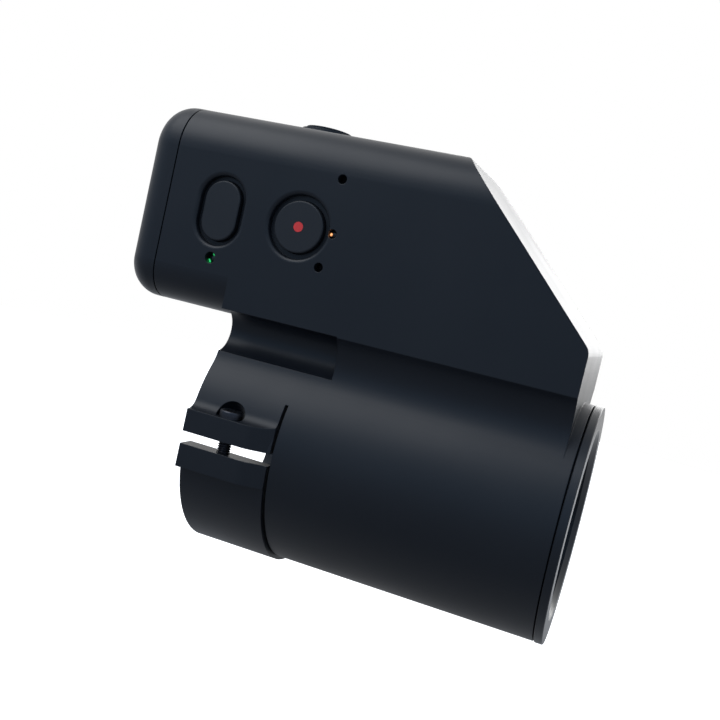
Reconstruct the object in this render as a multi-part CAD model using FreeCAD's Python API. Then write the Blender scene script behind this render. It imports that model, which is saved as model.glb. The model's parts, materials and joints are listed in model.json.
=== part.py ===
import FreeCAD, Part
import math
import os

# Clamp-on eyepiece camera, in millimetres.
# The origin is on the axis of the clamp bore, at the open front face of the collar.
# +X runs along the optical axis towards the user's eye, +Z is up (the housing sits on the
# tube), and the control buttons are on the -Y side.

V = FreeCAD.Vector
TAU = 2.0 * math.pi
ROOT2 = math.sqrt(2.0)
FAR = 60.0

# ---- driving dimensions ----
TUBE_RADIUS = 26.0
TUBE_END_X = 79.95
OPTICAL_BORE_RADIUS = 22.5
RING_START_X = 80.2
RING_END_X = 82.0
RING_RADIUS = 26.15
EYE_OPENING_RADIUS = 19.8

COLLAR_LENGTH = 19.9
CLAMP_BORE_RADIUS = 23.0
CLAMP_BORE_DEPTH = 22.0
COLLAR_SPRING = 0.9
SLIT_END_X = 20.6
SLIT_TOP_Z = 11.7

EAR_FACE_Y = -27.8
EAR_TOP_Z = 6.1
EAR_BOTTOM_Z = -6.6
EAR_BEND_X = 15.0
EAR_END_Y = -25.6
GAP_LOW_Z = -1.5
GAP_HIGH_Z = 1.2
SCREW_X = 9.1
SCREW_Y = -25.1
SCREW_RADIUS = 1.45
SCREW_HEAD_RADIUS = 2.5
SCREW_HEAD_TOP_Z = 7.8
WASHER_LOW_Z = 6.12
WASHER_HIGH_Z = 6.55
THREAD_END_Z = -6.0
HEAD_POCKET_RADIUS = 3.2
HEAD_POCKET_Z = 6.6

HALF_WIDTH = 22.0
TOP_Z = 70.8
UNDERSIDE_Z = 27.0
SEAM_X = -18.35
REAR_X = 77.8
SLANT_SUM = 115.2
TOP_CORNER_RADIUS = 10.0
LOW_CORNER_RADIUS = 8.0
SLANT_CORNER_RADIUS = 3.0
SIDE_WALL = 3.0
WALL = 2.5
BLEND_RADIUS = 9.0
BLEND_TOP_Z = 28.0
GROOVE_END_X = 27.3
GROOVE_RADIUS = 4.7
GROOVE_Y = 19.7
GROOVE_Z = 23.5

CAP_FRONT_X = -26.7
CAP_REAR_X = -18.65
CAP_EDGE_RADIUS = 6.6
CAP_SPIGOT_END_X = -14.9
SPIGOT_CLEARANCE = 0.12

RECESS_DEPTH = 1.8
RECESS_LIP_RADIUS = 0.9
BUTTON_FACE_Y = -21.7
BUTTON_TRAVEL = 0.6
FIT = 0.08
POWER_X = -5.4
POWER_Z = 48.7
POWER_WIDTH = 8.4
POWER_HEIGHT = 13.2
POWER_RECESS_WIDTH = 10.6
POWER_RECESS_HEIGHT = 15.2
RECORD_X = 13.3
RECORD_Z = 48.8
RECORD_RADIUS = 5.6
RECORD_RECESS_RADIUS = 6.8

GREEN_X = -5.3
GREEN_Z = 38.3
GREEN_RADIUS = 1.25
AMBER_X = 21.2
AMBER_Z = 48.8
AMBER_RADIUS = 1.0
MIC_X = 20.8
MIC_Z = 60.3
VENT_X = 19.85
VENT_Z = 41.4
PORT_HOLE_RADIUS = 1.0

DIAL_X = 6.6
DIAL_RADIUS = 5.4
DIAL_TOP_Z = 73.0
BOSS_RADIUS = 8.0
BOSS_RIM_RADIUS = 6.3
BOSS_TOP_Z = 72.4
DIAL_FLOOR_Z = 71.0
SHAFT_RADIUS = 1.5

BEAM_X = 58.0
BEAM_Z = 48.5
MIRROR_SUM = BEAM_X + BEAM_Z

BOARD_FRONT_Y = -14.0
BOARD_BACK_Y = -13.0
BOARD_START_X = -9.2
BOARD_END_X = 44.0
BOARD_LOW_Z = 31.0
BOARD_HIGH_Z = 66.5
BOARD_BOSSES = [(-5.5, 33.2), (-5.5, 62.5), (40.5, 34.0), (40.5, 62.5)]

FRAME_X = -0.2
PLATE = 2.2
FRAME_END_X = 31.0
PLATE_TOP_Z = 58.5
RODS = [(-7.6, 42.0), (7.2, 54.5)]
ROD_RADIUS = 1.0
GEAR_MODULE = 0.4
PINION_TEETH = 10
RACK_LOW_Z = 60.0
RACK_HIGH_Z = 62.0

INNER_HALF = HALF_WIDTH - SIDE_WALL
INNER_LOW = UNDERSIDE_Z + WALL
INNER_HIGH = TOP_Z - WALL
INNER_SLANT = SLANT_SUM - WALL * ROOT2
INNER_REAR = REAR_X - WALL
INNER_TOP_RADIUS = 7.0
INNER_LOW_RADIUS = 3.0
BULKHEAD_X = -14.6
BULKHEAD_THICKNESS = 1.2
BULKHEAD_SCREWS = [(-15.6, 33.0), (15.6, 33.0), (-14.6, 63.0), (14.6, 63.0)]
USB_Y = -3.0
USB_LOW_Z = 38.0
CARD_Y = -3.0
SWITCH_TOP_Y = -16.8
FRAME_SCREWS_X = [9.0, 22.0]
SENSOR_SCREWS = [(-7.9, 38.6), (7.4, 38.6), (-7.9, 56.4), (7.4, 57.0)]
BARREL_START_X = 6.0
BARREL_END_X = 23.0
BARREL_RADIUS = 6.0
CARRIAGE_START_X = 12.0
CARRIAGE_END_X = 19.0
PITCH_RADIUS = GEAR_MODULE * PINION_TEETH / 2.0
RACK_ADDENDUM = 0.2
RACK_DEDENDUM = 0.5
MIRROR_BACK = (INNER_SLANT - MIRROR_SUM) / ROOT2


# ---- small building blocks ----
def box(x0, x1, y0, y1, z0, z1):
    return Part.makeBox(x1 - x0, y1 - y0, z1 - z0, V(x0, y0, z0))


def rod_x(x0, x1, y, z, radius):
    return Part.makeCylinder(radius, x1 - x0, V(x0, y, z), V(1, 0, 0))


def rod_y(y0, y1, x, z, radius):
    return Part.makeCylinder(radius, y1 - y0, V(x, y0, z), V(0, 1, 0))


def rod_z(z0, z1, x, y, radius):
    return Part.makeCylinder(radius, z1 - z0, V(x, y, z0), V(0, 0, 1))


def ring_x(x0, x1, outer, inner):
    return rod_x(x0, x1, 0, 0, outer).cut(rod_x(x0 - 1, x1 + 1, 0, 0, inner))


def rounded_wire(points, radii):
    """Closed wire through 3-D corner points, each corner rounded by its own radius."""
    edges = []
    count = len(points)
    starts = []
    ends = []
    for i in range(count):
        here = points[i]
        back = (points[i - 1] - here).normalize()
        ahead = (points[(i + 1) % count] - here).normalize()
        radius = radii[i]
        if radius <= 0:
            starts.append(here)
            ends.append(here)
            continue
        half = 0.5 * back.getAngle(ahead)
        reach = radius / math.tan(half)
        first = here + back * reach
        last = here + ahead * reach
        centre = here + (back + ahead).normalize() * (radius / math.sin(half))
        middle = centre + (here - centre).normalize() * radius
        edges.append((i, Part.Arc(first, middle, last).toShape()))
        starts.append(first)
        ends.append(last)
    ordered = []
    arcs = dict(edges)
    for i in range(count):
        if i in arcs:
            ordered.append(arcs[i])
        follow = (i + 1) % count
        if (starts[follow] - ends[i]).Length > 1e-6:
            ordered.append(Part.makeLine(ends[i], starts[follow]))
    return Part.Wire(ordered)


def prism(wire, direction):
    return Part.Face(wire).extrude(direction)


def section_prism(x0, x1, half, low, high, low_radius, high_radius):
    """Bar along X with a rounded rectangular section."""
    corners = [V(x0, -half, low), V(x0, half, low), V(x0, half, high), V(x0, -half, high)]
    radii = [low_radius, low_radius, high_radius, high_radius]
    return prism(rounded_wire(corners, radii), V(x1 - x0, 0, 0))


def slot_bar(y0, y1, x, z, width, height):
    """Upright stadium along Y, as used for the oval button and its recess."""
    half = width / 2.0
    corners = [V(x - half, y0, z - height / 2), V(x + half, y0, z - height / 2),
               V(x + half, y0, z + height / 2), V(x - half, y0, z + height / 2)]
    return prism(rounded_wire(corners, [half - 0.001] * 4), V(0, y1 - y0, 0))


def side_prism(points, radii, y0, y1):
    """Plate in the XZ plane, extruded across the width."""
    corners = [V(x, y0, z) for x, z in points]
    return prism(rounded_wire(corners, radii), V(0, y1 - y0, 0))


def slanted(shape, u_axis, origin):
    """Move a shape drawn in (u, v, n) coordinates onto a plane at 45 degrees in XZ."""
    u = V(u_axis[0], 0, u_axis[1]).normalize()
    v = V(0, 1, 0)
    n = u.cross(v)
    matrix = FreeCAD.Matrix(u.x, v.x, n.x, origin[0],
                            u.y, v.y, n.y, origin[1],
                            u.z, v.z, n.z, origin[2],
                            0, 0, 0, 1)
    moved = shape.copy()
    moved.Placement = FreeCAD.Placement(matrix)
    return moved


def fuse_all(shapes):
    return shapes[0].multiFuse(shapes[1:]).removeSplitter()


def cut_all(shape, tools):
    return shape.cut(Part.makeCompound(tools))


def round_edges(shape, radius, wanted):
    edges = [edge for edge in shape.Edges if wanted(edge)]
    return shape.makeFillet(radius, edges)


def save(name, shape):
    shape.exportStep("parts/" + name + ".step")


# ---- main body ----
def blend_points():
    """Where the concave flank leaves the side plane, bottoms out and meets the tube."""
    far = TUBE_RADIUS + BLEND_RADIUS
    y, z = HALF_WIDTH, BLEND_TOP_Z
    # Circle of the blend: outside the tube circle, through the edge of the side plane.
    a = (far * far + y * y + z * z - BLEND_RADIUS ** 2) / 2.0
    k = 1.0 + (z / y) ** 2
    b = a * z / (y * y)
    c = (a / y) ** 2 - far * far
    centre_z = (b - math.sqrt(b * b - k * c)) / k
    centre_y = (a - z * centre_z) / y
    touch = (centre_y * TUBE_RADIUS / far, centre_z * TUBE_RADIUS / far)
    mid = (centre_y - BLEND_RADIUS, centre_z)
    return touch, mid


def body_section_prism(x0, x1):
    """Housing and flanks behind the collar: a bar whose foot is buried in the tube."""
    touch, mid = blend_points()
    corner = TOP_CORNER_RADIUS
    lean = corner * (1.0 - 1.0 / ROOT2)

    def at(y, z):
        return V(x0, y, z)

    edges = []
    for side in (1, -1):
        low = at(side * touch[0], touch[1])
        middle = at(side * mid[0], mid[1])
        crease = at(side * HALF_WIDTH, BLEND_TOP_Z)
        shoulder = at(side * HALF_WIDTH, TOP_Z - corner)
        bend = at(side * (HALF_WIDTH - lean), TOP_Z - lean)
        crown = at(side * (HALF_WIDTH - corner), TOP_Z)
        edges.append(Part.Arc(low, middle, crease).toShape())
        edges.append(Part.makeLine(crease, shoulder))
        edges.append(Part.Arc(shoulder, bend, crown).toShape())
    edges.append(Part.makeLine(at(touch[0], touch[1]), at(-touch[0], touch[1])))
    edges.append(Part.makeLine(at(HALF_WIDTH - corner, TOP_Z), at(corner - HALF_WIDTH, TOP_Z)))
    wire = Part.Wire(Part.sortEdges(edges)[0])
    return prism(wire, V(x1 - x0, 0, 0))


def housing_block():
    """Outer housing with its slanted back, control recesses and rounded lips."""
    rear = body_section_prism(0.0, REAR_X + 2.0)
    front = section_prism(SEAM_X, 0.0, HALF_WIDTH, UNDERSIDE_Z, TOP_Z, LOW_CORNER_RADIUS, TOP_CORNER_RADIUS)
    outline = [(SEAM_X, 0.0), (REAR_X, 0.0), (REAR_X, SLANT_SUM - REAR_X),
               (SLANT_SUM - TOP_Z, TOP_Z), (SEAM_X, TOP_Z)]
    radii = [0, 0, SLANT_CORNER_RADIUS, SLANT_CORNER_RADIUS, 0]
    block = fuse_all([rear, front]).common(side_prism(outline, radii, -FAR, FAR)).removeSplitter()
    recess_y = -HALF_WIDTH + RECESS_DEPTH
    power = slot_bar(-FAR, recess_y, POWER_X, POWER_Z, POWER_RECESS_WIDTH, POWER_RECESS_HEIGHT)
    record = rod_y(-FAR, recess_y, RECORD_X, RECORD_Z, RECORD_RECESS_RADIUS)
    block = cut_all(block, [power, record])

    def on_lip(edge):
        box_of = edge.BoundBox
        flat = abs(box_of.YMin + HALF_WIDTH) < 1e-4 and abs(box_of.YMax + HALF_WIDTH) < 1e-4
        near_power = abs(box_of.Center.x - POWER_X) < 6.0 and abs(box_of.Center.z - POWER_Z) < 9.0
        near_record = abs(box_of.Center.x - RECORD_X) < 8.0 and abs(box_of.Center.z - RECORD_Z) < 8.0
        return flat and (near_power or near_record) and edge.Length < 60.0

    return round_edges(block, RECESS_LIP_RADIUS, on_lip)


def focus_boss():
    """Flared ring on the top face around the focus dial."""
    flare = Part.Arc(V(BOSS_RADIUS, 0, TOP_Z), V(BOSS_RIM_RADIUS + 0.35, 0, TOP_Z + 0.5),
                     V(BOSS_RIM_RADIUS, 0, BOSS_TOP_Z)).toShape()
    points = [V(BOSS_RIM_RADIUS, 0, BOSS_TOP_Z), V(0, 0, BOSS_TOP_Z), V(0, 0, TOP_Z - 1.0),
              V(BOSS_RADIUS, 0, TOP_Z - 1.0), V(BOSS_RADIUS, 0, TOP_Z)]
    sides = [Part.makeLine(points[i], points[i + 1]) for i in range(4)]
    face = Part.Face(Part.Wire([flare] + sides))
    boss = face.revolve(V(0, 0, 0), V(0, 0, 1), 360)
    boss.translate(V(DIAL_X, 0, 0))
    return boss


def collar():
    """Clamp collar, its lower half sprung open a little, with the two ears."""
    upper = rod_x(0, COLLAR_LENGTH, 0, 0, TUBE_RADIUS)
    lower = rod_x(0, COLLAR_LENGTH, 0, -COLLAR_SPRING, TUBE_RADIUS)
    lower = lower.common(box(-1, FAR, -FAR, FAR, -FAR, -COLLAR_SPRING))
    middle = box(0, COLLAR_LENGTH, -TUBE_RADIUS, TUBE_RADIUS, -COLLAR_SPRING, 0)
    outer_low = V(0, EAR_FACE_Y, EAR_BOTTOM_Z)
    outer_top = V(0, EAR_FACE_Y, EAR_TOP_Z)
    ledge = V(0, -27.5, EAR_TOP_Z)
    flank = V(0, -24.70, 8.13)
    inner_top = V(0, -20, 8.13)
    inner_low = V(0, -20, EAR_BOTTOM_Z)
    edges = [Part.makeLine(outer_low, outer_top),
             Part.makeLine(outer_top, ledge),
             Part.Arc(ledge, V(0, -25.77, 6.66), flank).toShape(),
             Part.makeLine(flank, inner_top),
             Part.makeLine(inner_top, inner_low),
             Part.makeLine(inner_low, outer_low)]
    ears = prism(Part.Wire(edges), V(COLLAR_LENGTH, 0, 0))
    bend = [V(-1, EAR_FACE_Y, -FAR), V(EAR_BEND_X, EAR_FACE_Y, -FAR),
            V(COLLAR_LENGTH, EAR_END_Y, -FAR), V(COLLAR_LENGTH, 0, -FAR), V(-1, 0, -FAR)]
    ears = ears.common(prism(rounded_wire(bend, [0, 4.0, 0, 0, 0]), V(0, 0, 2 * FAR)))
    return fuse_all([upper, lower, middle, ears])


def clamp_bore():
    upper = rod_x(-1, CLAMP_BORE_DEPTH, 0, 0, CLAMP_BORE_RADIUS)
    low = rod_x(-1, COLLAR_LENGTH, 0, -COLLAR_SPRING, CLAMP_BORE_RADIUS)
    low = low.common(box(-2, FAR, -FAR, FAR, -FAR, -COLLAR_SPRING))
    middle = box(-1, COLLAR_LENGTH, -CLAMP_BORE_RADIUS, CLAMP_BORE_RADIUS, -COLLAR_SPRING, 0)
    return fuse_all([upper, low, middle])


def clamp_cuts():
    """Slit behind the collar, gap between the ears, and the clamp screw's holes."""
    slit = box(COLLAR_LENGTH, SLIT_END_X, -FAR, FAR, -FAR, SLIT_TOP_Z)
    slit = slit.cut(rod_x(0, FAR, 0, 0, CLAMP_BORE_RADIUS - 1.0))
    gap = box(-1, COLLAR_LENGTH + 0.5, -FAR, -18.0, GAP_LOW_Z, GAP_HIGH_Z)
    clearance = rod_z(0, EAR_TOP_Z + 1, SCREW_X, SCREW_Y, SCREW_RADIUS + 0.12)
    pocket = Part.makeSphere(HEAD_POCKET_RADIUS, V(SCREW_X, SCREW_Y, HEAD_POCKET_Z))
    pocket = pocket.common(box(-1, FAR, -FAR, 0, EAR_TOP_Z, FAR))
    thread = rod_z(THREAD_END_Z, 0, SCREW_X, SCREW_Y, SCREW_RADIUS + 0.05)
    return [slit, gap, clearance, pocket, thread]


def neck_grooves():
    """Round-bottomed grooves that narrow the neck over the collar."""
    tools = []
    for side in (1, -1):
        tools.append(rod_x(-1, GROOVE_END_X, side * GROOVE_Y, GROOVE_Z, GROOVE_RADIUS))
        inner = side * GROOVE_Y
        outer = side * 30.0
        tools.append(box(-1, GROOVE_END_X, min(inner, outer), max(inner, outer),
                         GROOVE_Z - GROOVE_RADIUS, GROOVE_Z + GROOVE_RADIUS))
    return tools


def cavity():
    """Hollow of the housing, open at the front."""
    bar = section_prism(SEAM_X - 1, FAR * 2, INNER_HALF, INNER_LOW, INNER_HIGH,
                        INNER_LOW_RADIUS, INNER_TOP_RADIUS)
    outline = [(SEAM_X - 1, INNER_LOW - 1), (INNER_REAR, INNER_LOW - 1),
               (INNER_REAR, INNER_SLANT - INNER_REAR),
               (INNER_SLANT - INNER_HIGH, INNER_HIGH), (SEAM_X - 1, INNER_HIGH)]
    return bar.common(side_prism(outline, [0, 0, 1.5, 1.5, 0], -FAR, FAR))


def inner_bosses():
    """Screw posts for the circuit board and for the front bulkhead."""
    posts = [rod_y(-INNER_HALF - 1, BOARD_FRONT_Y, x, z, 2.4) for x, z in BOARD_BOSSES]
    behind = BULKHEAD_X + BULKHEAD_THICKNESS
    for y, z in BULKHEAD_SCREWS:
        post = rod_x(behind, behind + 3.6, y, z, 2.3)
        side = 1 if y > 0 else -1
        reach = (side * 22.0 + y) / 2.0
        width = abs(side * 22.0 - y) / 2.0
        web = box(behind, behind + 3.6, reach - width, reach + width, z - 1.2, z + 1.2)
        posts += [post, web]
    outside = section_prism(SEAM_X, REAR_X, HALF_WIDTH - 1, UNDERSIDE_Z + 1, TOP_Z - 1, 7.0, 9.0)
    return [post.common(outside) for post in posts]


def boss_holes():
    holes = [rod_y(-INNER_HALF + 0.8, BOARD_FRONT_Y + 1, x, z, 0.72) for x, z in BOARD_BOSSES]
    behind = BULKHEAD_X + BULKHEAD_THICKNESS
    holes += [rod_x(behind - 1, behind + 3.4, y, z, 0.82) for y, z in BULKHEAD_SCREWS]
    return holes


def control_holes():
    """Through holes for buttons, lights, microphone and vent in the -Y wall."""
    inside = -INNER_HALF + 1
    power = slot_bar(-FAR, inside, POWER_X, POWER_Z, POWER_WIDTH + 2 * FIT, POWER_HEIGHT + 2 * FIT)
    record = rod_y(-FAR, inside, RECORD_X, RECORD_Z, RECORD_RADIUS + FIT)
    green = rod_y(-FAR, inside, GREEN_X, GREEN_Z, GREEN_RADIUS)
    amber = rod_y(-FAR, inside, AMBER_X, AMBER_Z, AMBER_RADIUS)
    microphone = rod_y(-FAR, inside, MIC_X, MIC_Z, PORT_HOLE_RADIUS)
    vent = rod_y(-FAR, inside, VENT_X, VENT_Z, PORT_HOLE_RADIUS)
    return [power, record, green, amber, microphone, vent]


def dial_cuts():
    pocket = rod_z(DIAL_FLOOR_Z, FAR * 2, DIAL_X, 0, DIAL_RADIUS + 0.1)
    hole = rod_z(INNER_HIGH - 1, FAR * 2, DIAL_X, 0, SHAFT_RADIUS + 0.04)
    groove = rod_z(69.15, 70.25, DIAL_X, 0, 2.65)
    return [pocket, hole, groove]


def optical_cuts():
    """Bores along the tube, window seats and the light path up into the housing."""
    land = rod_x(10, 30, 0, 0, 20.5)
    bore = rod_x(25.0, FAR * 2, 0, 0, OPTICAL_BORE_RADIUS)
    rear = rod_x(75.5, FAR * 2, 0, 0, 23.5)
    light_path = box(BEAM_X - 11, BEAM_X + 11, -10, 10, 10, INNER_LOW + 1)
    return [land, bore, rear, light_path]


def fixing_holes():
    """Blind holes for the optics frame screws and the mirror holder screws."""
    holes = [rod_z(26.0, INNER_LOW + 1, x, 0, 0.82) for x in FRAME_SCREWS_X]
    for side in (1, -1):
        hole = Part.makeCylinder(0.82, 2.2, V(0, side * 15.9, 3.0), V(0, 0, 1))
        holes.append(slanted(hole, (1, -1), (BEAM_X, 0, BEAM_Z)))
    return holes


def main_body():
    tube = rod_x(SLIT_END_X - 0.01, TUBE_END_X, 0, 0, TUBE_RADIUS)
    tube = tube.makeChamfer(0.12, [e for e in tube.Edges if abs(e.BoundBox.XMin - TUBE_END_X) < 1e-4])
    bridge = rod_x(COLLAR_LENGTH - 0.01, SLIT_END_X, 0, 0, TUBE_RADIUS)
    neck = box(0.0, GROOVE_END_X, -17.5, 17.5, 10.0, UNDERSIDE_Z + 1)
    solid = fuse_all([housing_block(), tube, bridge, neck, collar(), focus_boss()])
    solid = cut_all(solid, neck_grooves())
    solid = solid.cut(cavity())
    solid = fuse_all([solid] + inner_bosses())
    tools = [clamp_bore()] + clamp_cuts() + boss_holes() + control_holes()
    tools += dial_cuts() + optical_cuts() + fixing_holes()
    return solid.cut(tools)


# ---- front cap and what is behind it ----
def front_cap():
    outer = section_prism(CAP_FRONT_X, CAP_REAR_X, HALF_WIDTH, UNDERSIDE_Z, TOP_Z,
                          LOW_CORNER_RADIUS, TOP_CORNER_RADIUS)
    outer = round_edges(outer, CAP_EDGE_RADIUS,
                        lambda edge: abs(edge.BoundBox.XMax - CAP_FRONT_X) < 1e-4)
    inset = SPIGOT_CLEARANCE
    spigot = section_prism(CAP_REAR_X - 1, CAP_SPIGOT_END_X, INNER_HALF - inset, INNER_LOW + inset,
                           INNER_HIGH - inset, INNER_LOW_RADIUS - inset, INNER_TOP_RADIUS - inset)
    wall = 1.6
    hollow = section_prism(CAP_FRONT_X + 3.4, 0, INNER_HALF - wall, INNER_LOW + wall, INNER_HIGH - wall,
                           INNER_LOW_RADIUS - wall / 2, INNER_TOP_RADIUS - wall)
    return fuse_all([outer, spigot]).cut(hollow)


def cap_gasket():
    inset = 0.6
    outer = section_prism(CAP_REAR_X, SEAM_X - 0.07, HALF_WIDTH - inset, UNDERSIDE_Z + inset, TOP_Z - inset,
                          LOW_CORNER_RADIUS - inset, TOP_CORNER_RADIUS - inset)
    grow = 0.02
    inner = section_prism(CAP_REAR_X - 1, SEAM_X + 1, INNER_HALF + grow, INNER_LOW - grow, INNER_HIGH + grow,
                          INNER_LOW_RADIUS, INNER_TOP_RADIUS)
    return outer.cut(inner)


def usb_outline(x0, x1, grow):
    half = 4.47 + grow
    low = USB_LOW_Z - grow
    high = USB_LOW_Z + 3.26 + grow
    corners = [V(x0, USB_Y - half, low), V(x0, USB_Y + half, low),
               V(x0, USB_Y + half, high), V(x0, USB_Y - half, high)]
    return prism(rounded_wire(corners, [1.1 + grow] * 4), V(x1 - x0, 0, 0))


def front_bulkhead():
    gap = 0.15
    plate = section_prism(BULKHEAD_X, BULKHEAD_X + BULKHEAD_THICKNESS, INNER_HALF - gap, INNER_LOW + gap,
                          INNER_HIGH - gap, INNER_LOW_RADIUS - gap, INNER_TOP_RADIUS - gap)
    rails = [box(BULKHEAD_X + 0.5, -4.0, y - 0.8, y + 0.8, 35.4, 36.96) for y in (-11.4, 5.4)]
    port = usb_outline(BULKHEAD_X - 1, BULKHEAD_X + 3, 0.15)
    card = box(BULKHEAD_X - 1, BULKHEAD_X + 3, CARD_Y - 7.2, CARD_Y + 7.2, 34.9, 38.1)
    screws = [rod_x(BULKHEAD_X - 1, BULKHEAD_X + 3, y, z, 0.95) for y, z in BULKHEAD_SCREWS]
    grip = [rod_x(BULKHEAD_X - 1, BULKHEAD_X + 3, y, 58.0, 1.5) for y in (-6.0, 6.0)]
    return fuse_all([plate] + rails).cut([port, card] + screws + grip)


def cross_screw(head_radius, head_height, shank_radius, shank_length):
    """Small pan-head screw along +X; the head's seat is at x = 0."""
    head = Part.makeCylinder(head_radius, head_height, V(-head_height, 0, 0), V(1, 0, 0))
    top = [e for e in head.Edges if abs(e.BoundBox.XMax + head_height) < 1e-4]
    head = head.makeFillet(head_height * 0.4, top)
    shank = Part.makeCylinder(shank_radius, shank_length, V(-0.05, 0, 0), V(1, 0, 0))
    blade = 0.3
    reach = head_radius * 0.62
    bars = [box(-head_height - 1, -head_height * 0.5, -reach, reach, -blade / 2, blade / 2),
            box(-head_height - 1, -head_height * 0.5, -blade / 2, blade / 2, -reach, reach)]
    return head.fuse(shank).removeSplitter().cut(bars)


def aimed(shape, place, direction):
    """Turn a screw drawn along +X so that it points along direction from place."""
    moved = shape.copy()
    turn = FreeCAD.Rotation(V(1, 0, 0), V(*direction))
    moved.Placement = FreeCAD.Placement(V(*place), turn)
    return moved


def bulkhead_screws():
    screw = cross_screw(1.6, 0.9, 0.8, 4.2)
    return Part.makeCompound([aimed(screw, (BULKHEAD_X, y, z), (1, 0, 0)) for y, z in BULKHEAD_SCREWS])


def port_board():
    return box(BULKHEAD_X + BULKHEAD_THICKNESS + 0.1, -2.6, -12.4, 6.4, 37.0, 38.0)


def usb_port():
    shell = usb_outline(-16.6, -9.3, 0.0)
    shell = shell.cut(usb_outline(-17, -10.0, -0.32))
    tongue = box(-15.9, -9.9, USB_Y - 3.3, USB_Y + 3.3, USB_LOW_Z + 1.28, USB_LOW_Z + 1.98)
    return shell.fuse(tongue).removeSplitter()


def card_slot():
    shell = box(-15.4, -3.0, CARD_Y - 7.0, CARD_Y + 7.0, 35.1, 37.0)
    mouth = box(-16, -3.6, CARD_Y - 5.7, CARD_Y + 5.7, 35.45, 36.65)
    return shell.cut(mouth)


def memory_card():
    corners = [V(-17.6, CARD_Y - 5.5, 35.55), V(-3.9, CARD_Y - 5.5, 35.55),
               V(-3.9, CARD_Y + 4.2, 35.55), V(-5.2, CARD_Y + 5.5, 35.55), V(-17.6, CARD_Y + 5.5, 35.55)]
    card = prism(rounded_wire(corners, [0.6, 0.6, 0.4, 0.4, 0.6]), V(0, 0, 0.9))
    grip = box(-17.2, -16.8, CARD_Y - 4.0, CARD_Y + 4.0, 36.25, 37.0)
    return card.cut(grip)


# ---- controls ----
def power_button():
    body = slot_bar(BUTTON_FACE_Y, -18.4, POWER_X, POWER_Z, POWER_WIDTH, POWER_HEIGHT)
    body = round_edges(body, 0.4, lambda edge: abs(edge.BoundBox.YMax - BUTTON_FACE_Y) < 1e-4)
    flange = slot_bar(-18.9, -18.1, POWER_X, POWER_Z, POWER_WIDTH + 1.6, POWER_HEIGHT + 1.6)
    nib = rod_y(-18.2, -17.65, POWER_X, POWER_Z, 1.3)
    return fuse_all([body, flange, nib])


def record_button():
    body = rod_y(BUTTON_FACE_Y, -18.4, RECORD_X, RECORD_Z, RECORD_RADIUS)
    body = round_edges(body, 0.4, lambda edge: abs(edge.BoundBox.YMax - BUTTON_FACE_Y) < 1e-4)
    flange = rod_y(-18.9, -18.1, RECORD_X, RECORD_Z, RECORD_RADIUS + 0.6)
    nib = rod_y(-18.2, -17.65, RECORD_X, RECORD_Z, 1.3)
    pocket = rod_y(-FAR, BUTTON_FACE_Y + 0.5, RECORD_X, RECORD_Z, 1.12)
    return fuse_all([body, flange, nib]).cut(pocket)


def record_dot():
    return rod_y(BUTTON_FACE_Y - 0.04, BUTTON_FACE_Y + 0.5, RECORD_X, RECORD_Z, 1.08)


def tact_switch(x, z):
    case = box(x - 3.0, x + 3.0, SWITCH_TOP_Y, BOARD_FRONT_Y, z - 3.0, z + 3.0)
    upright = [e for e in case.Edges if abs(e.BoundBox.YLength - (BOARD_FRONT_Y - SWITCH_TOP_Y)) < 1e-4]
    case = case.makeFillet(0.4, upright)
    return case.cut(rod_y(-FAR, SWITCH_TOP_Y + 1.6, x, z, 1.3))


def switch_plunger(x, z):
    return rod_y(-17.65, SWITCH_TOP_Y + 0.7, x, z, 1.22)


def light_pipe(x, z, radius, face_y, flange):
    pipe = rod_y(face_y, -15.0, x, z, radius - 0.06)
    dome = Part.makeSphere(radius * 1.6, V(x, face_y + radius * 1.6, z))
    pipe = pipe.common(dome.fuse(rod_y(face_y + radius * 1.6, -14.5, x, z, radius)))
    stop = rod_y(-18.96, -18.4, x, z, flange)
    return pipe.fuse(stop).removeSplitter()


def board_led(x, z):
    base = box(x - 0.8, x + 0.8, -14.35, BOARD_FRONT_Y, z - 0.5, z + 0.5)
    lens = box(x - 0.55, x + 0.55, -14.8, -14.3, z - 0.45, z + 0.45)
    return base.fuse(lens).removeSplitter()


def microphone():
    can = rod_y(-18.1, BOARD_FRONT_Y, MIC_X, MIC_Z, 2.3)
    can = round_edges(can, 0.3, lambda edge: abs(edge.BoundBox.YMax + 18.1) < 1e-4)
    return can.cut(rod_y(-19, -17.6, MIC_X, MIC_Z, 0.6))


# ---- electronics ----
def main_board():
    corners = [V(BOARD_START_X, BOARD_FRONT_Y, BOARD_LOW_Z), V(BOARD_END_X, BOARD_FRONT_Y, BOARD_LOW_Z),
               V(BOARD_END_X, BOARD_FRONT_Y, BOARD_HIGH_Z), V(BOARD_START_X, BOARD_FRONT_Y, BOARD_HIGH_Z)]
    board = prism(rounded_wire(corners, [1.5] * 4), V(0, BOARD_BACK_Y - BOARD_FRONT_Y, 0))
    return board.cut([rod_y(-15, -12, x, z, 0.85) for x, z in BOARD_BOSSES])


def board_screws():
    screw = cross_screw(1.5, 0.8, 0.7, 4.4)
    places = [aimed(screw, (x, BOARD_BACK_Y, z), (0, -1, 0)) for x, z in BOARD_BOSSES]
    return Part.makeCompound(places)


def processor_chip():
    return box(22.0, 35.0, BOARD_BACK_Y, -11.8, 41.0, 54.0)


def heat_pad():
    return box(22.5, 34.5, -11.8, -11.1, 41.5, 53.5)


def sensor_socket():
    return box(-3.0, 0.2, BOARD_BACK_Y, -12.1, 43.5, 53.5)


def battery_socket():
    return box(33.5, 39.5, BOARD_BACK_Y, -11.9, 58.2, 61.4)


def sensor_flex():
    return box(-1.42, -1.22, -12.08, -6.0, 44.0, 53.0)


def battery_flex():
    return box(34.0, 39.0, -11.88, 10.15, 59.7, 59.9)


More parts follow.
